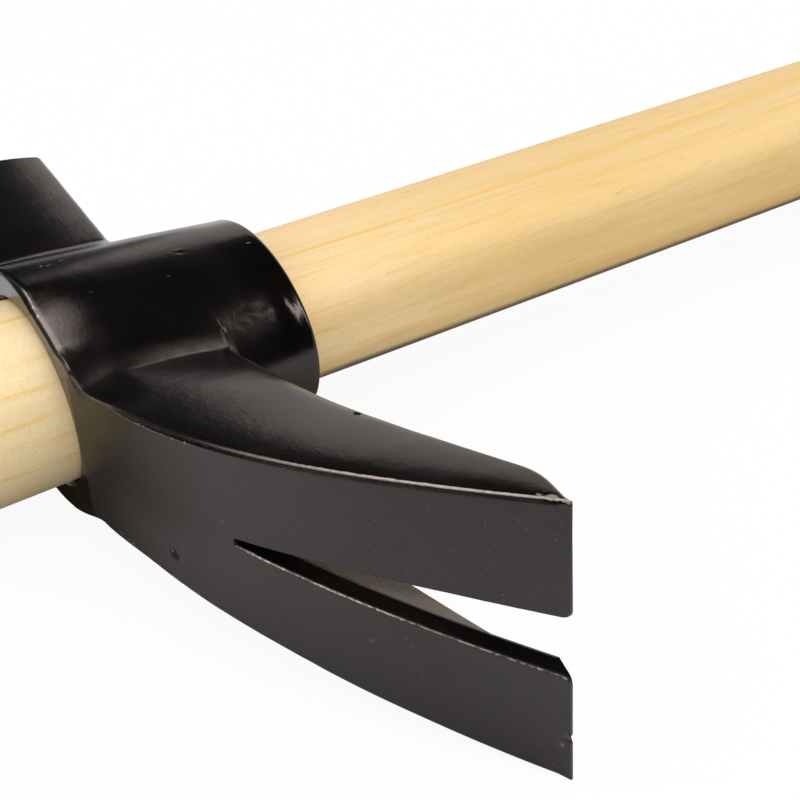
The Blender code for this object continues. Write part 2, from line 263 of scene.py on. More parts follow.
def spread(stops):
    """A bevel's stops, spread over the steps that a rounded corner has."""
    return np.interp(np.linspace(0, 1, CORNER_STEPS), BEVEL_STOPS, stops)


def value_noise(points, size, seed):
    """Smooth noise from -1 to 1 whose bumps are about size across, in metres, as one number or three."""
    count = 32
    table = np.random.default_rng(seed).uniform(-1.0, 1.0, (count, count, count))
    scaled = points / np.array(size) + 1000.0
    cell = np.floor(scaled).astype(int)
    inside = scaled - cell
    inside = inside * inside * (3 - 2 * inside)
    total = np.zeros(len(points))
    for corner in np.ndindex(2, 2, 2):
        index = (cell + np.array(corner)) % count
        weight = np.prod(np.where(np.array(corner) == 1, inside, 1 - inside), axis=1)
        total += weight * table[index[:, 0], index[:, 1], index[:, 2]]
    return total


def mesh_object(name, points, faces):
    mesh = bpy.data.meshes.new(name)
    mesh.from_pydata([tuple(p) for p in points], [], faces)
    mesh.validate()
    made = bpy.data.objects.new(name, mesh)
    bpy.context.scene.collection.objects.link(made)
    return made


def loft(name, rings):
    """A closed skin over rings of equal length, with a flat cap on the first and the last."""
    rows, around = len(rings), len(rings[0])
    points = np.concatenate(rings)
    faces = []
    for row in range(rows - 1):
        here, there = row * around, (row + 1) * around
        for i in range(around):
            j = (i + 1) % around
            faces.append((here + i, here + j, there + j, there + i))
    faces.append(tuple(range(around))[::-1])
    faces.append(tuple(range((rows - 1) * around, rows * around)))
    made = mesh_object(name, points, faces)
    volume = sum(np.dot(points[f[0]], np.cross(points[f[k]], points[f[k + 1]])) for f in faces
                 for k in range(1, len(f) - 1))
    if volume < 0:
        made.data.flip_normals()
    return made


def drawn_in(ring, scales):
    """The ring again and again, scaled towards its centre."""
    centre = ring.mean(axis=0)
    return [mix(centre, ring, scale) for scale in scales]


def combine(base, operation, others):
    """Applies Booleans to base and removes the others."""
    for other in others:
        boolean = base.modifiers.new(other.name, "BOOLEAN")
        boolean.operation = operation
        boolean.object = other
        boolean.solver = "MANIFOLD"
        graph = bpy.context.evaluated_depsgraph_get()
        mesh = bpy.data.meshes.new_from_object(base.evaluated_get(graph))
        base.modifiers.clear()
        old = base.data
        base.data = mesh
        bpy.data.meshes.remove(old)
        bpy.data.objects.remove(other)


# Head


def eye_half_sizes(depth):
    return mix_each(EYE_TOP_HALF, EYE_FOOT_HALF, depth / EYE_LENGTH)


def barrel_height(depth, y):
    half_y, half_z = eye_half_sizes(depth)
    return half_z * np.sqrt(np.maximum(1 - (y / half_y) ** 2, 0.0))


def make_barrel():
    segments = 288
    angles = np.arange(segments) * 2 * math.pi / segments
    cos, sin = np.cos(angles), np.sin(angles)
    around = np.degrees(np.arctan2(-cos, sin))
    steep = window(around, *RIM_BEVEL_AROUND)
    from_claw = np.abs(around - 90)
    under_claw = 1 - np.where(around < 90, smooth_step(*UNDER_CLAW_UPPER, from_claw),
                              smooth_step(*UNDER_CLAW_LOWER, from_claw))

    def ring(depth, inwards, scale=1.0):
        half_y, half_z = eye_half_sizes(np.clip(depth, 0.0, EYE_LENGTH))
        y, z = scale * (half_y - inwards) * cos, scale * (half_z - inwards) * sin
        # the top end face bends back with the claw's front face and lies a hair under it
        bent = claw_front(y) + SUNK * (y < -CLAW_START)
        bent = bent * np.clip(1 - depth / EYE_BENT_DEPTH, 0.0, 1.0)
        return np.stack([HANDLE_PROUD + depth + bent, y, z], axis=1)

    corner = np.linspace(0.0, math.pi / 2, CORNER_STEPS)
    rim = [(EYE_RIM_ROUND * (1 - math.sin(a)), EYE_RIM_ROUND * (1 - math.cos(a))) for a in corner]
    top_rim = []
    for (depth, inwards), (bevel_depth, bevel_inwards) in zip(reversed(rim), zip(*map(spread, RIM_BEVEL))):
        top_rim.append((mix(depth, bevel_depth, steep) * (1 - under_claw),
                        mix(inwards, bevel_inwards, steep) * (1 - under_claw)))
    start = top_rim[0][1]
    rings = [ring(0.0, start, scale) for scale in np.linspace(0.5, 1.0, 16)[:-1]]
    rings += [ring(depth + APART * i, inwards) for i, (depth, inwards) in enumerate(top_rim)]
    depths = np.linspace(EYE_RIM_ROUND, EYE_LENGTH - EYE_RIM_ROUND, 64)
    rings += [ring(depth, 0.0) for depth in depths[1:-1]]
    rings += [ring(EYE_LENGTH - depth, inwards) for depth, inwards in rim]
    rings += [ring(EYE_LENGTH, EYE_RIM_ROUND, scale) for scale in np.linspace(1.0, 0.5, 12)[1:]]
    return loft("head", rings)


def superellipse(x, half_y, half_z, squareness, segments):
    angles = np.arange(segments) * 2 * math.pi / segments
    cos, sin = np.cos(angles), np.sin(angles)
    power = 2 / squareness
    y = np.sign(cos) * np.abs(cos) ** power * half_y
    z = np.sign(sin) * np.abs(sin) ** power * half_z
    return np.stack([np.full(segments, x), y, z], axis=1)


def handle_section(x):
    """The handle's half sizes in Y and Z, and its squareness, at a distance x from its top end."""
    if x <= HANDLE_PROUD:
        return (*mix_each(HANDLE_TOP_HALF, HANDLE_NECK_HALF, x / HANDLE_PROUD), HANDLE_TOP_SQUARENESS)
    share = min((x - HANDLE_PROUD) / EYE_LENGTH, 1.0)
    sizes = mix_each(HANDLE_NECK_HALF, HANDLE_SHAFT_HALF, share)
    eye_foot = HANDLE_PROUD + EYE_LENGTH
    flatter = smooth_step(eye_foot, eye_foot + HANDLE_GRIP_START, x)
    squareness = mix(HANDLE_TOP_SQUARENESS, HANDLE_SHAFT_SQUARENESS, share)
    sizes = [size * mix(1.0, HANDLE_GRIP_SHARE, flatter) for size in sizes]
    return (*sizes, mix(squareness, HANDLE_GRIP_SQUARENESS, flatter))


def handle_ring(x, outwards, segments):
    half_y, half_z, squareness = handle_section(x)
    return superellipse(x, half_y + outwards, half_z + outwards, squareness, segments)


def make_bore():
    top, foot = HANDLE_PROUD, HANDLE_PROUD + EYE_LENGTH
    past, segments = 2 * EYE_MOUTH_FLARE, 240
    flare = EYE_MOUTH_FLARE * np.linspace(0.0, 1.0, 4)
    steps = [(top - past, EYE_MOUTH_FLARE + past)]
    steps += [(top + f, EYE_MOUTH_FLARE - f) for f in flare]
    steps += [(x, 0.0) for x in np.linspace(top, foot, 28)[2:-2]]
    steps += [(foot - EYE_MOUTH_FLARE + f, f) for f in flare]
    steps.append((foot + past, EYE_MOUTH_FLARE + past))
    return loft("eye_bore", [handle_ring(x, EYE_GAP + wider, segments) for x, wider in steps])


def even_bulge(share):
    return 1 - (2 * share - 1) ** 2


def claw_bulge(share):
    """The claw's side is fullest behind its middle, and rises faster from the front."""
    from_fullest = share - CLAW_FULLEST
    return 1 - np.where(from_fullest < 0, (from_fullest / CLAW_FULLEST) ** 2,
                        CLAW_REAR_BULGE * (from_fullest / (1 - CLAW_FULLEST)) ** 2)


def claw_fall(y):
    """How far along its draft the claw's side is. Away from the eye, most draft is at the rear edge."""
    late = CLAW_LATE_DRAFT * smooth_step(*CLAW_LATE_DRAFT_STARTS, -y)
    return lambda share: mix(share, share**CLAW_LATE_DRAFT_SHAPE, late)


def claw_blend(depth, upper):
    """The fillet between claw and barrel, which is tight at the upper side's front."""
    whole = smooth_step(0.0, CLAW_TIGHT_DEPTH, depth) if upper else 1.0
    return CLAW_BLEND * mix(CLAW_TIGHT_BLEND, 1.0, whole)


def arm_ring(y, front, rear, halves, crown, blend, edge_round, sunk, steps, shifts=None,
             fall=lambda share: share, bulge=even_bulge, bevel=None, rear_round=None):
    """A ring across one arm at y: its sides blended into the barrel, its long edges rounded.

    steps are the steps across its side and across its front face. shifts gives, for depths below the
    eye's top end, how much wider the upper and the lower side are than halves. fall and bulge shape the
    side from its front to its rear edge. blend is the fillet's size, or gives it for depths and for the
    upper or lower side. bevel gives the depths and insets of the upper front corner where it isn't round."""
    most = ARM_ROUND_MOST * min(rear - front, halves[1])
    radius, rear_radius = min(edge_round, most), min(rear_round or edge_round, most)
    corner = np.linspace(0.0, math.pi / 2, CORNER_STEPS)
    across_rear, down_rear = rear_radius * (1 - np.cos(corner)), rear_radius * (1 - np.sin(corner))
    sides = []
    for sign, wider in ((1, 0), (-1, 1)):
        in_front, down_front = radius * (1 - np.cos(corner)), radius * (1 - np.sin(corner))
        if bevel and sign > 0:
            in_front, down_front = map(spread, bevel)
        middle = np.linspace(front + in_front[-1], rear - rear_radius, steps[0] + 1)[1:-1]
        depth = np.concatenate([front + in_front, middle, rear - across_rear[::-1]])
        drops = np.concatenate([down_front, np.zeros(len(middle)), down_rear[::-1]])
        share = (depth - front) / (rear - front)
        side = mix(halves[0], halves[1], fall(share)) + crown * bulge(share)
        if shifts:
            side = side + shifts(depth)[wider]
        reach = blend(depth, sign > 0) if callable(blend) else blend
        height = smooth_max(barrel_height(depth, y) - SUNK, side, reach) - sunk - drops
        sides.append((depth, sign * height))
    (depth, upper), (lower_depth, lower) = sides
    across = np.linspace(0.0, 1.0, steps[1] + 1)[1:-1]
    depths = np.concatenate([
        depth, np.full(len(across), rear), lower_depth[::-1], np.full(len(across), front)
    ])
    heights = np.concatenate([
        upper, mix(upper[-1], lower[-1], across), lower[::-1], mix(lower[0], upper[0], across)
    ])
    return np.stack([HANDLE_PROUD + depths, np.full(len(depths), y), heights], axis=1)


def poll_ring(y, inwards=0.0, sunk=0.0):
    share = y / POLL_REACH
    half = mix(POLL_ROOT_HALF_WIDTH, POLL_FACE_HALF_WIDTH, share) - inwards
    rear = mix(POLL_ROOT_DEPTH, POLL_FACE_DEPTH, share) - inwards
    crown = POLL_CROWN * share
    return arm_ring(y, inwards, rear, (half, half), crown, POLL_BLEND, POLL_EDGE_ROUND, sunk, POLL_STEPS)


def make_poll():
    rings = [poll_ring(0.0, sunk=ROOT_SUNK)]
    rings += [poll_ring(y) for y in np.linspace(POLL_FIRST_RING, POLL_REACH - POLL_FACE_CHAMFER, 96)]
    for angle in np.linspace(0.0, math.pi / 2, 6)[1:]:
        y = POLL_REACH - POLL_FACE_CHAMFER * (1 - math.sin(angle))
        rings.append(poll_ring(y, POLL_FACE_CHAMFER * (1 - math.cos(angle))))
    rings += drawn_in(rings[-1], np.linspace(1.0, CAP_CENTRE, 22)[1:])
    return loft("poll_blank", rings)


def claw_share(y):
    return (-y - CLAW_START) / (CLAW_REACH - CLAW_START)


def claw_front(y):
    share = np.maximum(claw_share(y), 0.0)
    return CLAW_SWEEP * (CLAW_SWEEP_SHAPE * share**2 - (CLAW_SWEEP_SHAPE - 1) * share**3)


def blank_thickness(y):
    share = claw_share(y)
    thinning = CLAW_THINNING * share + (1 - CLAW_THINNING) * share * np.abs(share)
    return mix(CLAW_ROOT_THICKNESS, CLAW_TIP_THICKNESS, thinning)


def claw_thickness(y):
    from_edge = np.clip((y + CLAW_REACH) / CLAW_BEVEL_LENGTH, 0.0, 1.0)
    fullness = 1 - (1 - from_edge) ** CLAW_BEVEL_FULLNESS
    return mix(CLAW_EDGE_THICKNESS, blank_thickness(y), fullness)


def claw_halves(y):
    share = np.maximum(claw_share(y), 0.0)
    widening = CLAW_WIDENING_SHAPE * share**2 - (CLAW_WIDENING_SHAPE - 1) * share**3
    half_front = mix(CLAW_ROOT_HALF_WIDTH, CLAW_TIP_HALF_WIDTH, widening)
    return half_front, half_front - CLAW_ROOT_DRAFT * (1 - share) ** 2


def claw_shifts(y):
    """How much wider the claw's upper and lower sides are near its root, as a function of depth."""
    fading = 1 - smooth_step(*ROOT_SHIFTS_FADE, -y)

    def shifts(depth):
        at_front = 1 - smooth_step(0.0, ROOT_CORNER_DEPTH, depth)
        return (ROOT_UPPER_SHIFT + ROOT_CORNER_SHIFT * at_front) * fading, ROOT_LOWER_SHIFT * fading

    return shifts


def claw_edge(y):
    """The bevel along the claw's upper front edge, no deeper than the thin tip allows."""
    near_tip = smooth_step(*CLAW_EDGE_TURNS, -y)
    thin = min(1.0, CLAW_EDGE_MOST * float(claw_thickness(y)) / CLAW_EDGE_NEAR_TIP[0][-1])
    return [[mix(a, b, near_tip) * thin for a, b in zip(*stops)]
            for stops in zip(CLAW_EDGE_NEAR_EYE, CLAW_EDGE_NEAR_TIP)]


def claw_ring(y, sunk=0.0):
    front = float(claw_front(y))
    rear = front + float(claw_thickness(y))
    near_eye = 1 - smooth_step(*CLAW_REAR_ROUND_FADES, -y)
    crown = CLAW_CROWN * min(1.0, (rear - front) / CLAW_CROWNED_THICKNESS)
    return arm_ring(y, front, rear, claw_halves(y), crown, claw_blend, CLAW_EDGE_ROUND, sunk, CLAW_STEPS,
                    claw_shifts(y), claw_fall(y), claw_bulge, claw_edge(y),
                    mix(CLAW_EDGE_ROUND, CLAW_REAR_ROUND_NEAR_EYE, near_eye))


def make_claw():
    root, tip = CLAW_FIRST_RING * EYE_TOP_HALF[0], CLAW_REACH - CLAW_FINE_TIP
    rings = [claw_ring(-CLAW_SUNK_RING * root, ROOT_SUNK)]
    rings += [claw_ring(-distance) for distance in np.linspace(root, tip, 150)]
    rings += [claw_ring(-distance) for distance in np.linspace(tip, CLAW_REACH, 9)[1:]]
    return loft("claw_blank", rings)


def notch_half_gap(distance):
    share = (distance - NOTCH_START) / (CLAW_REACH - NOTCH_START)
    opening = share + NOTCH_BULGE * share * (1 - share)
    half_gap = mix(NOTCH_APEX_HALF_GAP, NOTCH_TIP_HALF_GAP, opening)
    into_corner = np.clip(distance - (CLAW_REACH - NOTCH_CORNER_ROUND), 0.0, NOTCH_CORNER_ROUND)
    return half_gap + NOTCH_CORNER_ROUND - np.sqrt(NOTCH_CORNER_ROUND**2 - into_corner**2)


def notch_middle(distance):
    share = np.clip((distance - NOTCH_START) / (CLAW_REACH - NOTCH_START), 0.0, 1.0)
    return NOTCH_BEND * np.sin(math.pi * share)


def notch_outline(half_gap_at, end_reach):
    """Distances from the handle's axis and Z of the notch's outline, and where its end is rounded."""
    past = CLAW_REACH + NOTCH_PAST_TIP * NOTCH_TIP_HALF_GAP
    corner = CLAW_REACH - NOTCH_CORNER_ROUND
    distance = np.concatenate([
        [past], np.linspace(CLAW_REACH, corner, 7), np.linspace(corner, NOTCH_START, 80)[1:]
    ])
    half = np.array([half_gap_at(min(d, CLAW_REACH)) for d in distance])
    turn = np.linspace(0.0, math.pi / 2, 17)[1:]
    distance = np.concatenate([distance, NOTCH_START - end_reach * np.sin(turn)])
    half = np.concatenate([half, half_gap_at(NOTCH_START) * np.cos(turn)])
    return np.concatenate([distance, distance[-2::-1]]), np.concatenate([half, -half[-2::-1]])


def make_notch():
    flank_distance, flank_half = notch_outline(notch_half_gap, NOTCH_APEX_HALF_GAP)
    recess_distance, recess_half = notch_outline(lambda d: RECESS_HALF_WIDTH, RECESS_END_REACH)
    recess_depth = np.maximum(blank_thickness(-recess_distance) + RECESS_OVERCUT,
                              NOTCH_LAND + RECESS_LEAST_DEPTH)

    def ring(distance, half, depth):
        x = HANDLE_PROUD + claw_front(-distance) + depth
        return np.stack([x, -distance, half + notch_middle(distance)], axis=1)

    clear = 0.5 * CLAW_ROOT_THICKNESS
    # the lower flank's chamfer is ragged
    along_flank = np.stack([flank_distance, flank_half * FLANKS_APART, flank_half * 0], axis=1)
    ragged = value_noise(along_flank, NOTCH_RAGGED, NOTCH_SEED) * (flank_half < 0)
    chamfer = NOTCH_CHAMFER * (1 + NOTCH_UNEVEN * ragged)
    widened = flank_half + np.sign(flank_half) * chamfer
    rings = [ring(flank_distance, widened, -clear), ring(flank_distance, widened, 0.0)]
    rings += [ring(flank_distance, flank_half, mix(chamfer, NOTCH_LAND, share))
              for share in np.linspace(0, 1, 9)]
    flank, recess = rings[-1], ring(recess_distance, recess_half, recess_depth)
    rings += [mix(flank, recess, share) for share in np.linspace(0, 1, 15)[1:]]
    rings.append(ring(recess_distance, recess_half, recess_depth + clear))
    return loft("nail_notch", rings)


def read_vectors(items, key):
    values = np.zeros(len(items) * 3, np.float32)
    items.foreach_get(key, values)
    return values.reshape(-1, 3).astype(float)


def write_points(mesh, points):
    mesh.vertices.foreach_set("co", points.astype(np.float32).ravel())
    mesh.update()


def write_value(mesh, name, values):
    attribute = mesh.attributes.new(name, "FLOAT", "POINT")
    attribute.data.foreach_set("value", np.asarray(values, np.float32))


def bump_at(points, place, radius):
    """1 at a place, falling smoothly to 0 at radius from it, which has a number for each axis."""
    apart = np.linalg.norm((points - np.array(place)) / np.array(radius), axis=1)
    return 1 - smooth_step(0.0, 1.0, apart)


def clear_of_bore(points):
    """0 on the bore's surface, 1 where the head's surface may move freely."""
    x = np.clip(points[:, 0], HANDLE_PROUD, HANDLE_PROUD + EYE_LENGTH)
    share = (x - HANDLE_PROUD) / EYE_LENGTH
    half_y, half_z = (half + EYE_GAP for half in mix_each(HANDLE_NECK_HALF, HANDLE_SHAFT_HALF, share))
    power = mix(HANDLE_TOP_SQUARENESS, HANDLE_SHAFT_SQUARENESS, share)
    out = (np.abs(points[:, 1] / half_y) ** power + np.abs(points[:, 2] / half_z) ** power) ** (1 / power)
    return smooth_step(*FREE_OF_BORE, (out - 1) * half_z)


def refine(mesh, marks):
    """Splits the triangles around the marks until they are small enough to take their shapes."""
    work = bmesh.new()
    work.from_mesh(mesh)
    bmesh.ops.triangulate(work, faces=work.faces[:])
    for _ in range(MARK_PASSES):
        work.verts.index_update()
        points = np.array([tuple(v.co) for v in work.verts])
        near = np.zeros(len(points), int)  # one bit for each mark
        for bit, (place, radii, _, _) in enumerate(marks):
            apart = np.linalg.norm(points - place, axis=1)
            near |= (apart < MARK_MARGIN * max(radii)).astype(int) << bit
        near = near.tolist()
        edges = [e for e in work.edges
                 if near[e.verts[0].index] & near[e.verts[1].index] and e.calc_length() > MARK_STEP]
        bmesh.ops.subdivide_edges(work, edges=edges, cuts=1)
        bmesh.ops.triangulate(work, faces=[f for f in work.faces if len(f.verts) > 3])
    work.to_mesh(mesh)
    work.free()
    mesh.update()


def forge_surface(head):
    """Moves the head's surface to what hammering, grinding and use leave, and stores where it is worn."""
    mesh = head.data
    refine(mesh, MARKS)
    points, normals = read_vectors(mesh.vertices, "co"), read_vectors(mesh.vertex_normals, "vector")
    x, y, z = points.T
    depth = x - HANDLE_PROUD
    free = clear_of_bore(points)
    moved = sum(lift * value_noise(points, size, seed) for seed, (lift, size) in enumerate(WAVES, 1))
    hammered = bump_at(points, HAMMERED_PLACE, HAMMERED_RADIUS)
    moved += hammered * sum(lift * value_noise(points, size, seed)
                            for seed, (lift, size) in enumerate(HAMMERED_WAVES, 4))
    moved += RIDGE_HEIGHT * bump_at(points, RIDGE_PLACE, RIDGE_RADIUS)
    spots, pits = np.zeros((2, len(points)))
    for number, (place, radii, lift, bare) in enumerate(MARKS):
        near = bump_at(points, place, radii)
        near *= 1 + MARK_UNEVEN * value_noise(points, MARK_UNEVEN_SIZE * min(radii), MARK_SEED + number)
        moved += lift * near
        spots = np.maximum(spots, bare * smooth_step(*MARK_WORN, near))
        if bare < BARE_AT_MOST and lift < -PIT_AT_LEAST:
            pits = np.maximum(pits, smooth_step(*MARK_DARK, near))
    points = points + normals * (moved * free)[:, None]

    # the eye's top rim is dressed to a soft shoulder on its upper side
    half_y, half_z = eye_half_sizes(np.clip(depth, 0, EYE_LENGTH))
    around = np.degrees(np.arctan2(-y / half_y, z / half_z))
    out = np.hypot(y / half_y, z / half_z)
    shoulder = window(around, *SHOULDER_AROUND) * (out < BARREL_OUTSIDE)
    shoulder *= 1 - smooth_step(0.0, SHOULDER_INSIDE, (1 - out) * half_z)
    inwards = SHOULDER_DROP * shoulder * np.clip(1 - depth / SHOULDER_LENGTH, 0.0, 1.0) ** SHOULDER_SHAPE
    radial = np.stack([0 * x, y / half_y**2, z / half_z**2], axis=1)
    radial /= np.maximum(np.linalg.norm(radial, axis=1), 1e-9)[:, None]
    points -= radial * (inwards * free)[:, None]
    points = np.clip(points, *(np.array(corner) for corner in cad_box))
    write_points(mesh, points)

    line = np.exp(-(((depth - RIM_LINE_DEPTH) / RIM_LINE_WIDTH) ** 2))
    for name, strip, stops, least in (
        ("dressed", window(depth, *DRESSED_DEPTH), DRESSED_AROUND, DRESSED_OUT),
        ("worn_rim", line, RIM_LINE_AROUND, RIM_LINE_OUT),
        ("dull_rim", window(depth, *DULL_RIM_DEPTH), DULL_RIM_AROUND, DULL_RIM_OUT),
    ):
        write_value(mesh, name, strip * window(around, *stops) * (out > least))
    write_value(mesh, "hammered", hammered)
    write_value(mesh, "dull_corner", bump_at(points, DULL_CORNER_PLACE, DULL_CORNER_RADIUS))
    write_value(mesh, "bare_spots", spots)
    write_value(mesh, "pits", pits)
    store_edges(mesh, depth, y, z)


def store_edges(mesh, depth, y, z):
    """Stores where the creases, the claw's edges and its faces are, for the look."""
    behind = depth - claw_front(y)
    thickness = claw_thickness(y)
    half_front, half_rear = claw_halves(y)
    side_half = mix(half_front, half_rear, np.clip(behind / thickness, 0, 1))
    # a painted highlight along the creases where the arms leave the eye
    height = barrel_height(depth, y)
    share = y / POLL_REACH
    above_poll = height - mix(POLL_ROOT_HALF_WIDTH, POLL_FACE_HALF_WIDTH, share)
    on_poll = (y > 0) * (depth < mix(POLL_ROOT_DEPTH, POLL_FACE_DEPTH, share) + JUST_PAST)
    crease = np.exp(-(((above_poll - CREASE_OFFSET) / CREASE_WIDTH) ** 2))
    crease *= on_poll * smooth_step(*CREASE_STARTS, depth)
    fillet = window((height - side_half) / CLAW_BLEND, *FILLET_STRIP) * smooth_step(*FILLET_STARTS, depth)
    fillet *= (y < -FILLET_OUTWARDS) * (behind < thickness + 0.5 * JUST_PAST)
    write_value(mesh, "crease", crease + FILLET_HIGHLIGHT * fillet)

    # distances in mm from the claw's edges, from which the look draws fine lines of wear and painted
    # highlights
    from_notch = np.abs(z - notch_middle(-y)) - notch_half_gap(np.clip(-y, NOTCH_START, CLAW_REACH))
    from_notch = np.where(-y > NOTCH_START - JUST_PAST, from_notch, FAR_OFF)
    beside = side_half - np.abs(z)
    for name, distance in (("behind", behind), ("beside", beside), ("from_notch", from_notch)):
        write_value(mesh, "mm_" + name, np.clip(distance, -0.1 * FAR_OFF, FAR_OFF) * MM)

    in_recess = -y > NOTCH_START - RECESS_END_REACH - JUST_PAST
    in_recess &= np.abs(z) < RECESS_HALF_WIDTH + RECESS_SLACK
    in_recess &= (behind > NOTCH_LAND - 0.1 * JUST_PAST) & (behind < blank_thickness(y) + JUST_PAST)
    write_value(mesh, "raw_recess", in_recess.astype(float))
    front_face = (behind < FRONT_FACE_DEPTH) & (-y > CLAW_START) & (side_half - z > FRONT_FACE_MARGIN)
    write_value(mesh, "front_face", front_face.astype(float))


def make_head():
    head = make_barrel()
    claw = make_claw()
    combine(claw, "DIFFERENCE", [make_notch()])
    combine(head, "UNION", [make_poll(), claw])
    combine(head, "DIFFERENCE", [make_bore()])
    forge_surface(head)
    head.data.shade_smooth()
    head.data.set_sharp_from_angle(angle=SHARP)
    return head


def make_handle():
    segments = 144
    eye_foot, straight_end = HANDLE_PROUD + EYE_LENGTH, HANDLE_LENGTH - HANDLE_BUTT_ROUND
    rings = drawn_in(handle_ring(0.0, -HANDLE_TOP_CHAMFER, segments), np.linspace(CAP_CENTRE, 1.0, 14))
    rings.append(handle_ring(HANDLE_TOP_CHAMFER, 0.0, segments))
    for start, end, steps in ((HANDLE_TOP_CHAMFER, HANDLE_PROUD, 24), (HANDLE_PROUD, eye_foot, 24),
                              (eye_foot, straight_end, 140)):
        rings += [handle_ring(x, 0.0, segments) for x in np.linspace(start, end, steps)[1:]]
    for angle in np.linspace(0.0, math.pi / 2, 9)[1:]:
        along = straight_end + HANDLE_BUTT_ROUND * math.sin(angle)
        rings.append(handle_ring(along, HANDLE_BUTT_ROUND * (math.cos(angle) - 1), segments))
    rings += drawn_in(rings[-1], np.linspace(1.0, CAP_CENTRE, 12)[1:])
    handle = loft("handle", rings)
    handle.data.shade_smooth()
    handle.data.set_sharp_from_angle(angle=SHARP)
    return handle


# Materials


class Nodes:
    """Adds nodes to a material and links them."""

    def __init__(self, name):
        self.material = bpy.data.materials.new(name)
        self.material.use_nodes = True
        self.tree = self.material.node_tree
        self.shader = self.tree.nodes["Principled BSDF"]
        self.place = self.add("ShaderNodeTexCoord").outputs["Object"]

    def add(self, kind, inputs=None, **settings):
        node = self.tree.nodes.new(kind)
        for key, value in settings.items():
            setattr(node, key, value)
        for key, value in (inputs or {}).items():
            self.put(node.inputs[key], value)
        return node

    def put(self, socket, value):
        if isinstance(value, bpy.types.NodeSocket):
            self.tree.links.new(value, socket)
        else:
            socket.default_value = value

    def set(self, **inputs):
        for key, value in inputs.items():
            self.put(self.shader.inputs[key.replace("_", " ")], value)

    def math(self, operation, a, b=0.0):
        return self.add("ShaderNodeMath", {0: a, 1: b}, operation=operation).outputs[0]

    def folded(self, operation, *values):
        """The values joined one after another by one kind of Math node."""
        result = values[0]
        for value in values[1:]:
            result = self.math(operation, result, value)
        return result

    def times(self, *values):
        return self.folded("MULTIPLY", *values)

    def most(self, *values):
        return self.folded("MAXIMUM", *values)

    def plus(self, *values):
        return self.folded("ADD", *values)

    def minus(self, a, b):
        return self.math("SUBTRACT", a, b)

    def length(self, a, b):
        """The distance from 0 of a point that lies at a and b."""
        return self.math("SQRT", self.plus(self.times(a, a), self.times(b, b)))

    def ramp(self, value, low, high, to_low=0.0, to_high=1.0):
        """value taken smoothly from between low and high to between to_low and to_high."""
        inputs = {"Value": value, "From Min": low, "From Max": high, "To Min": to_low, "To Max": to_high}
        return self.add("ShaderNodeMapRange", inputs, interpolation_type="SMOOTHSTEP").outputs["Result"]

    def blend(self, share, a, b):
        """The colour from a to b at share."""
        return self.add("ShaderNodeMix", {0: share, 6: a, 7: b}, data_type="RGBA").outputs[2]

    def mixed(self, share, a, b):
        """The number from a to b at share."""
        return self.add("ShaderNodeMix", {0: share, 2: a, 3: b}, data_type="FLOAT").outputs[0]

    def noise(self, per_metre, detail=3.0, roughness=0.55, distortion=0.0):
        """Noise with about that many bumps to the metre, as one number or as three along X, Y and Z."""
        scale = per_metre if isinstance(per_metre, tuple) else (per_metre,) * 3
        place = self.add("ShaderNodeMapping", {"Vector": self.place, "Scale": scale}).outputs[0]
        inputs = {"Vector": place, "Scale": 1.0, "Detail": detail, "Roughness": roughness,
                  "Distortion": distortion}
        return self.add("ShaderNodeTexNoise", inputs).outputs["Fac"]

    def split(self, vector):
        return self.add("ShaderNodeSeparateXYZ", {0: vector}).outputs

    def stored(self, name):
        """A value that store_edges or forge_surface keeps on the mesh."""
        return self.add("ShaderNodeAttribute", attribute_name=name).outputs["Fac"]

    def bump(self, height, metres, before=None):
        inputs = {"Height": height, "Distance": metres}
        if before:
            inputs["Normal"] = before
        return self.add("ShaderNodeBump", inputs).outputs["Normal"]


BLACK = (0.0016, 0.0014, 0.0013, 1.0)
DUSTY_BLACK = (0.0050, 0.0043, 0.0039, 1.0)
FRONT_GREY = (0.020, 0.0185, 0.0188, 1.0)
# colour of the painted highlight along the creases
CREASE_HIGHLIGHT = (0.27, 0.215, 0.195, 1.0)
BARE_METAL = (0.50, 0.44, 0.38, 1.0)
RAW_BROWN = (0.070, 0.040, 0.026, 1.0)
RAW_GREY = (0.16, 0.13, 0.105, 1.0)
TINT = (1.0, 0.89, 0.86, 1.0)  # what it mirrors is tinted by these: all of it, the front face, and its root, where the browner tint is painted shade
FRONT_TINT = (1.0, 0.87, 0.87, 1.0)
ROOT_SHADE_TINT = (1.0, 0.84, 0.70, 1.0)
SATIN = (0.19, 0.23)  # roughness, and what it is at some of the stored places
FOOT_SATIN = 0.14
DRESSED_SATIN = (0.23, 0.32)
WORN = 0.5
ROUGHNESS = {"hammered": 0.3, "front_face": 0.36, "raw_recess": 0.6, "dull_corner": 0.4}
# the root's lower gloss is painted shade in its reflection
GLOSS, ROOT_SHADE_GLOSS, DRESSED_GLOSS, DULL_CORNER_GLOSS, DULL_GLOSS = 0.5, 0.27, 0.66, 0.2, 0.08
# widths of the lines of wear, two of which are also painted highlights, and their places from the claw's
# edges, in mm
NOTCH_LINE, EDGE_LINE, DULL_EDGE = 0.22, 0.20, 0.6
EDGE_LINE_BEHIND, SPECKS_BESIDE = 0.5, 0.85
LINE_UNEVEN = 2.2  # times its width
# between which distances from the handle's axis something changes, and from what to what if not 0 and 1
SPECKS_START = (0.020, 0.022)
SPECKS_FADE = (0.045, 0.070, 0.8, 0.0)
DULL_EDGE_FADES = (0.078, 0.050)
EDGE_HIGHLIGHT_GROWS = (0.052, 0.092, 0.0, 0.8)
NOTCH_LINE_STARTS = (0.0615, 0.0635)
NOTCH_LINE_FADES = (0.084, 0.092, 1.0, 0.6)
ROOT_FADES = (0.064, 0.036)
RECESS_GREYS = (0.076, 0.088, 0.0, 0.6)
# the same along X and Z
FOOT_STARTS = (0.058, 0.066)
LOWER_PRONG = (0.0012, 0.0006, 0.2, 1.0)
ROOT_RISES = (-0.009, 0.003)
FRONT_GREY_LOWER = (0.004, -0.008, 0.35, 1.0)


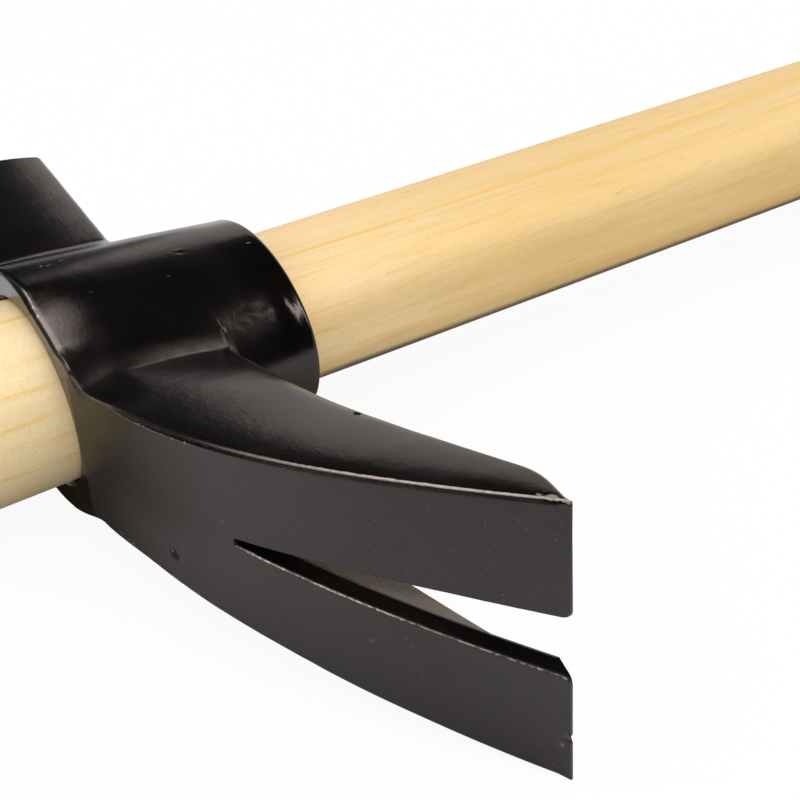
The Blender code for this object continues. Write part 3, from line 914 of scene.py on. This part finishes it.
def enamel():
    n = Nodes("black_enamel_look")
    mottling = n.noise(55.0, 4.0)
    fine = n.noise(900.0, 2.0)
    grit = n.noise(2600.0, 2.0)
    streaks = n.noise((2200.0, 120.0, 2200.0), 3.0)
    breakup = n.noise(1100.0, 4.0, 0.7)
    axes = n.split(n.place)
    outwards = n.times(axes["Y"], -1.0)
    recess, front_face = n.stored("raw_recess"), n.stored("front_face")
    colour = n.blend(n.ramp(mottling, 0.35, 0.75), BLACK, DUSTY_BLACK)
    grey = n.ramp(n.plus(n.ramp(outwards, *RECESS_GREYS), n.noise(1400.0, 3.0)), 0.45, 0.75)
    colour = n.blend(recess, colour, n.blend(grey, RAW_BROWN, RAW_GREY))
    # painted highlight along the creases, uneven in strength
    crease_highlight_share = n.times(n.stored("crease"), n.ramp(n.noise(500.0), 0.2, 0.7, 0.55, 1.0))
    colour = n.blend(crease_highlight_share, colour, CREASE_HIGHLIGHT)

    # lines of wear along the claw's edges, drawn from the distances to them; the lines on the upper front
    # edge and on the lower prong's notch edge are also painted highlights
    behind, beside, from_notch = (n.stored("mm_" + name) for name in ("behind", "beside", "from_notch"))
    uneven = n.minus(breakup, 0.5)

    def line(first, second, width):
        apart = n.plus(n.length(first, second), n.times(uneven, LINE_UNEVEN * width))
        return n.ramp(apart, width, 0.4 * width)

    # worn notch edge and painted highlight, mostly on the lower prong, whose edge catches the light
    notch_wear_and_highlight = line(n.most(behind, 0.0), n.most(from_notch, 0.0), NOTCH_LINE)
    notch_wear_and_highlight = n.times(notch_wear_and_highlight, n.ramp(axes["Z"], *LOWER_PRONG), n.ramp(outwards, *NOTCH_LINE_STARTS),
                         n.ramp(outwards, *NOTCH_LINE_FADES))
    behind_line = n.minus(behind, EDGE_LINE_BEHIND)
    dull_edge = n.times(line(behind_line, beside, DULL_EDGE), n.ramp(outwards, *DULL_EDGE_FADES))
    dull_edge = n.most(dull_edge, n.stored("dull_rim"))
    # worn upper front edge and painted highlight, growing towards the tip
    edge_wear_and_highlight = n.times(line(behind_line, beside, EDGE_LINE), n.ramp(outwards, *EDGE_HIGHLIGHT_GROWS))
    specks = line(behind, n.minus(beside, SPECKS_BESIDE), EDGE_LINE)
    specks = n.times(specks, n.ramp(outwards, *SPECKS_START), n.ramp(outwards, *SPECKS_FADE),
                     n.ramp(n.noise(1500.0, 2.0), 0.58, 0.66))
    rim_line = n.times(n.stored("worn_rim"), n.ramp(breakup, 0.54, 0.62))
    bare = n.most(notch_wear_and_highlight, edge_wear_and_highlight, specks, rim_line, n.stored("bare_spots"))

    # the front face is greyer towards the bottom, and beside the eye its reflection is duller and browner,
    # painted shade for the shaded floor and wood it mirrors
    root = n.times(front_face, n.ramp(outwards, *ROOT_FADES), n.ramp(axes["Z"], *ROOT_RISES))
    # greyer towards the bottom of the front face, unevenly
    front_grey = n.times(front_face, n.ramp(axes["Z"], *FRONT_GREY_LOWER), n.minus(1.0, root),
                    n.ramp(n.noise(34.0, 4.0, 0.6), 0.3, 0.7, 0.55, 1.6))
    grains = n.times(front_face, n.ramp(n.noise(1700.0, 2.0), 0.68, 0.76), 0.12)
    colour = n.blend(front_grey, colour, FRONT_GREY)
    colour = n.blend(grains, colour, BARE_METAL)
    colour = n.blend(n.times(bare, 0.8), colour, BARE_METAL)

    pits, dressed = n.stored("pits"), n.stored("dressed")
    rough = n.ramp(mottling, 0.3, 0.7, *SATIN)
    rough = n.mixed(n.ramp(axes["X"], *FOOT_STARTS), rough, FOOT_SATIN)
    for place, value in ROUGHNESS.items():
        rough = n.mixed(n.stored(place), rough, value)
    rough = n.mixed(dressed, rough, n.ramp(n.noise(900.0, 4.0, 0.65), 0.35, 0.65, *DRESSED_SATIN))
    rough = n.mixed(n.most(bare, pits, dull_edge), rough, WORN)
    gloss = n.mixed(n.stored("dull_corner"), n.mixed(root, GLOSS, ROOT_SHADE_GLOSS), DULL_CORNER_GLOSS)
    gloss = n.mixed(dressed, gloss, DRESSED_GLOSS)
    gloss = n.mixed(n.most(pits, dull_edge), gloss, DULL_GLOSS)
    tint = n.blend(root, n.blend(front_face, TINT, FRONT_TINT), ROOT_SHADE_TINT)
    normal = n.bump(fine, 0.00002)
    normal = n.bump(grit, n.mixed(recess, 0.000006, 0.00006), normal)
    normal = n.bump(streaks, 0.000014, normal)
    n.set(Base_Color=colour, Roughness=rough, Specular_Tint=tint, Specular_IOR_Level=gloss, Normal=normal)
    return n.material


# near the head the wood is painted paler, painted light that makes up for the head's shade; the _FAR colours
# are used further along the shaft
WOOD_PALE = (0.97, 0.735, 0.41, 1.0)
WOOD_PALE_FAR = (0.885, 0.635, 0.295, 1.0)
WOOD_YELLOW = (0.93, 0.655, 0.30, 1.0)
WOOD_YELLOW_FAR = (0.85, 0.565, 0.215, 1.0)
WOOD_CREAM = (0.99, 0.81, 0.50, 1.0)
WOOD_DASHES = (0.84, 0.53, 0.18, 1.0)
WOOD_ORANGE = (0.76, 0.41, 0.11, 1.0)
WOOD_LINE = (0.90, 0.53, 0.10, 1.0)
WOOD_TAN = (0.70, 0.46, 0.22, 1.0)
# painted shade for the shaft's lower corner
WOOD_PAINTED_SHADE = (0.16, 0.10, 0.06, 1.0)
PITH = (-0.035, -0.075)  # Y and Z of the tree's middle, beside the handle
RING_SPACING = 0.0105
FINE_SPACING = 0.0043
RING_RIPPLE = 0.0016
LINE_START = 0.078  # a dark ring runs along the shaft's top from here, by this curve
LINE_CURVE = (-0.0040, -0.0019, 0.306)
LINE_RIPPLE = 0.0012
LINE_SHARP_SIDE = (-0.00035, 0.0)
LINE_SOFT_SIDE = (0.0016, 0.0002)
LINE_ABOVE = (0.002, 0.006)
RAW_END = (0.030, 0.022)  # the top end is rougher than the sanded shaft
# between these distances along X the painted light near the head fades out
PAINTED_LIGHT_FADES = (0.075, 0.135)
# the painted shade under the shaft: where it starts along X, and the downward parts of the surface it covers
UNDER_SHADE_STARTS = (0.06, 0.08, 0.0, 0.8)
UNDER_SHADE_SIDE = (-0.38, -0.62)  # between these downward parts of the surface's direction
UNDER_SHADE_BOTTOM = (-0.98, -0.88)


def wood():
    n = Nodes("pale_wood_look")
    bands = n.noise((10.0, 210.0, 210.0), 4.0, 0.55, 0.7)
    clouds = n.noise((22.0, 60.0, 60.0), 3.0)
    fibres = n.noise((60.0, 1700.0, 1700.0), 3.0)
    flecks = n.noise((150.0, 1100.0, 1100.0), 2.0)
    dashes = n.noise((45.0, 560.0, 560.0), 3.0)
    stipple = n.noise((2200.0, 4000.0, 4000.0), 2.0, 0.6)
    wander = n.noise((8.0, 26.0, 26.0), 3.0)
    ripple = n.noise((60.0, 150.0, 150.0), 3.0)
    gaps = n.noise((50.0, 170.0, 170.0), 3.0)
    fading = n.noise((26.0, 90.0, 90.0), 3.0)
    axes = n.split(n.place)
    raw = n.ramp(axes["X"], *RAW_END)

    # growth rings, broad ones and fine ones that come and go
    radius = n.length(n.minus(axes["Y"], PITH[0]), n.minus(axes["Z"], PITH[1]))
    radius = n.plus(radius, n.times(ripple, RING_RIPPLE))
    late = n.math("FRACT", n.plus(n.math("DIVIDE", radius, RING_SPACING), n.times(wander, 0.8)))
    fine = n.math("FRACT", n.plus(n.math("DIVIDE", radius, FINE_SPACING), wander))
    fine = n.times(n.ramp(fine, n.mixed(raw, 0.50, 0.70), 0.88), n.ramp(fine, 1.0, 0.92),
                   n.ramp(gaps, 0.38, 0.60))

    # the one dark ring on the shaft's top, sharp on one side
    along = n.minus(axes["X"], LINE_START)
    bend = n.times(n.plus(n.times(along, LINE_CURVE[2]), LINE_CURVE[1]), along)
    offset = n.minus(axes["Y"], n.plus(bend, LINE_CURVE[0]))
    offset = n.plus(offset, n.times(n.minus(ripple, 0.5), LINE_RIPPLE))
    line = n.times(n.ramp(offset, *LINE_SHARP_SIDE), n.ramp(offset, *LINE_SOFT_SIDE),
                   n.ramp(axes["Z"], *LINE_ABOVE), n.ramp(fading, 0.30, 0.60, 0.35, 0.9))

    # painted shade: the shaft's lower corner is darkened as if in the shadow under it
    down = n.split(n.add("ShaderNodeTexCoord").outputs["Normal"])["Z"]
    under_shade = n.times(n.ramp(down, *UNDER_SHADE_SIDE), n.ramp(down, *UNDER_SHADE_BOTTOM), n.ramp(axes["X"], *UNDER_SHADE_STARTS))

    # painted light: paler near the head, fading to the _FAR colours further along
    past_painted_light = n.ramp(axes["X"], *PAINTED_LIGHT_FADES)
    pale, yellow = n.blend(past_painted_light, WOOD_PALE, WOOD_PALE_FAR), n.blend(past_painted_light, WOOD_YELLOW, WOOD_YELLOW_FAR)
    colour = pale
    for share, over in (
        (n.times(n.ramp(bands, 0.42, 0.66), n.mixed(raw, 0.75, 0.2)), yellow),
        (n.ramp(clouds, 0.35, 0.75, 0.0, 0.45), yellow),
        (n.ramp(dashes, 0.50, 0.70, 0.0, 0.5), WOOD_DASHES),
        (n.ramp(late, 0.55, 0.95, 0.0, 0.3), yellow),
        (n.ramp(fibres, 0.5, 0.8, 0.0, 0.35), WOOD_TAN),
        (n.times(raw, 0.6), WOOD_CREAM),
        (n.times(fine, n.mixed(raw, 0.16, 0.5)), WOOD_LINE),
        (n.times(n.ramp(stipple, 0.48, 0.72), n.mixed(raw, 0.30, 0.5)), n.blend(raw, WOOD_TAN, WOOD_DASHES)),
        (n.ramp(flecks, 0.64, 0.76, 0.0, 0.5), WOOD_ORANGE),
        (line, WOOD_LINE),
        (under_shade, WOOD_PAINTED_SHADE),
    ):
        colour = n.blend(share, colour, over)
    normal = n.bump(stipple, n.mixed(raw, 0.00003, 0.00007), n.bump(fibres, 0.00004))
    rough = n.ramp(fibres, 0.3, 0.7, 0.42, 0.56)
    n.set(Base_Color=colour, Roughness=rough, Specular_IOR_Level=0.3, Normal=normal)
    return n.material


# Stage

# The photograph's camera
CAMERA_AZIMUTH = -30.672  # degrees, 0 looks along +Y
CAMERA_ELEVATION = 31.504
CAMERA_ROLL = 4.119
CAMERA_PLACE = (-0.035179, -0.226616, 0.130998)
CAMERA_LENS, CAMERA_SENSOR = 66.708, 36.0  # mm
CAMERA_CLIP = (0.01, 20.0)

FLOOR_HEIGHT = -0.0243
FLOOR_HALF_SIZE = 6.0
MATT_FLOOR = (0.35, 0.35, 0.35, 1.0)  # what matt surfaces are lit by
PALE_FLOOR = (0.92, 0.92, 0.92, 1.0)  # what the camera sees, shadow and all, under this share of plain white
PLAIN_WHITE = 0.93
SHADED_FLOOR = (0.10, 0.075, 0.055, 1.0)  # mirrored where the hammer is near, warmed by its wood
SHADE_REACH, SHADE = 0.10, (0.3, 0.92)
MIRRORED_FLOOR = (0.10, 0.30, 1.0, 0.06)  # bright near the head, dark further off
MIRRORED_BACKDROP = (0.08, 0.25, 0.0, 0.85)
AWAY_FROM_CAMERA = (0.77, 0.64)  # along X and Y
WORLD = (("tent", 0.87), ("dark", 0.03), ("white", 1.0))  # for matt surfaces, for gloss and for the camera
LIT_PLACE = (0.045, -0.02, 0.0)  # what the lights are aimed at
GLOSS_TINT = (1.0, 0.91, 0.87)  # what the enamel mirrors in the photograph is a little warm
GLOSS_LIGHTS = (  # name, azimuth, elevation, distance, size and radiance
    ("left_softbox", -112, 38, 1.1, (1.2, 0.85), 4.0),
    ("overhead_softbox", -112, 61, 1.3, (1.2, 0.75), 4.5),
    ("overhead_edge", -112, 68, 1.35, (1.2, 1.0), 2.2),
    ("back_card", 130, 11.5, 1.2, (1.28, 0.85), 0.76),
    ("small_card", 62, 30, 1.2, (0.20, 0.75), 6.5),
)
MATT_LIGHT = ("key", 0, 50, 1.5, (1.2, 1.2), 1.85)


def direction(azimuth, elevation):
    """Towards a light or the camera: azimuth 0 is -Y and 90 is +X."""
    a, e = math.radians(azimuth), math.radians(elevation)
    return Vector((math.sin(a) * math.cos(e), -math.cos(a) * math.cos(e), math.sin(e)))


def make_camera():
    data = bpy.data.cameras.new("camera")
    data.lens, data.sensor_width = CAMERA_LENS, CAMERA_SENSOR
    data.clip_start, data.clip_end = CAMERA_CLIP
    camera = bpy.data.objects.new("camera", data)
    bpy.context.scene.collection.objects.link(camera)
    back, roll = direction(CAMERA_AZIMUTH, CAMERA_ELEVATION), math.radians(CAMERA_ROLL)
    right = (-back).cross(Vector((0, 0, 1))).normalized()
    down = (-back).cross(right)
    across = math.cos(roll) * right + math.sin(roll) * down
    upwards = math.sin(roll) * right - math.cos(roll) * down
    turn = Matrix((across, upwards, back)).transposed()
    camera.matrix_world = Matrix.Translation(CAMERA_PLACE) @ turn.to_4x4()
    bpy.context.scene.camera = camera


def make_floor():
    corners = [(-1, -1), (1, -1), (1, 1), (-1, 1)]
    corners = [(FLOOR_HALF_SIZE * x, FLOOR_HALF_SIZE * y, FLOOR_HEIGHT) for x, y in corners]
    floor = mesh_object("floor", corners, [(0, 1, 2, 3)])
    n = Nodes("floor_look")
    n.tree.nodes.remove(n.shader)
    path = n.add("ShaderNodeLightPath").outputs
    axes = n.split(n.place)
    away = n.length(n.minus(axes["X"], LIT_PLACE[0]), n.minus(axes["Y"], LIT_PLACE[1]))
    behind = n.plus(*(n.times(axes[axis], part) for axis, part in zip("XY", AWAY_FROM_CAMERA)))
    bright = n.most(n.ramp(away, *MIRRORED_FLOOR), n.ramp(behind, *MIRRORED_BACKDROP))
    tone = n.add("ShaderNodeCombineColor", {"Red": bright, "Green": bright, "Blue": bright}).outputs[0]
    open_sky = n.add("ShaderNodeAmbientOcclusion", {"Distance": SHADE_REACH}, samples=6).outputs["AO"]
    tone = n.blend(n.ramp(open_sky, *SHADE), SHADED_FLOOR, tone)
    matt, pale, mirrored = (n.add("ShaderNodeBsdfDiffuse", {"Color": colour}).outputs[0]
                            for colour in (MATT_FLOOR, PALE_FLOOR, tone))
    white = n.add("ShaderNodeEmission", {"Color": (1.0, 1.0, 1.0, 1.0), "Strength": 1.0}).outputs[0]

    def mix_shaders(share, a, b):
        return n.add("ShaderNodeMixShader", {0: share, 1: a, 2: b}).outputs[0]

    seen = n.most(path["Is Camera Ray"], path["Is Transmission Ray"])
    result = mix_shaders(seen, matt, mix_shaders(PLAIN_WHITE, pale, white))
    result = mix_shaders(path["Is Glossy Ray"], result, mirrored)
    n.tree.links.new(result, n.tree.nodes["Material Output"].inputs["Surface"])
    floor.data.materials.append(n.material)


def make_world():
    world = bpy.data.worlds.new("studio")
    bpy.context.scene.world = world
    world.use_nodes = True
    tree = world.node_tree
    tree.nodes.clear()
    output = tree.nodes.new("ShaderNodeOutputWorld")
    path = tree.nodes.new("ShaderNodeLightPath").outputs
    shades = {}
    for name, strength in WORLD:
        shades[name] = tree.nodes.new("ShaderNodeBackground")
        shades[name].inputs["Color"].default_value = (1.0, 1.0, 1.0, 1.0)
        shades[name].inputs["Strength"].default_value = strength
    result = shades["tent"].outputs[0]
    for ray, name in (("Is Glossy Ray", "dark"), ("Is Camera Ray", "white")):
        both = tree.nodes.new("ShaderNodeMixShader")
        tree.links.new(path[ray], both.inputs[0])
        tree.links.new(result, both.inputs[1])
        tree.links.new(shades[name].outputs[0], both.inputs[2])
        result = both.outputs[0]
    tree.links.new(result, output.inputs["Surface"])


def make_light(name, azimuth, elevation, distance, size, radiance, matt=False):
    """A rectangular soft light, which only gloss mirrors or, if matt, which only lights matt surfaces."""
    towards = direction(azimuth, elevation)
    data = bpy.data.lights.new(name, "AREA")
    data.shape = "RECTANGLE"
    data.size, data.size_y = size
    data.energy = math.pi * size[0] * size[1] * radiance
    data.color = (1.0, 1.0, 1.0) if matt else GLOSS_TINT
    light = bpy.data.objects.new(name, data)
    bpy.context.scene.collection.objects.link(light)
    light.location = Vector(LIT_PLACE) + towards * distance
    light.rotation_euler = towards.to_track_quat("Z", "Y").to_euler()
    light.visible_glossy, light.visible_diffuse = not matt, matt
    light.visible_camera = False


def main():
    bpy.context.scene.view_settings.view_transform = "Standard"
    make_camera()
    for piece, name, node, slot, look in (
        (make_head(), "forged_head", "head", "black_enamel", enamel()),
        (make_handle(), "wooden_handle", "handle", "pale_wood", wood()),
    ):
        piece.name = name
        piece.data.materials.clear()
        piece.data.materials.append(look)
        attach(piece, "root")
        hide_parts(node)
    make_floor()
    make_world()
    for light in GLOSS_LIGHTS:
        make_light(*light)
    make_light(*MATT_LIGHT, matt=True)


main()
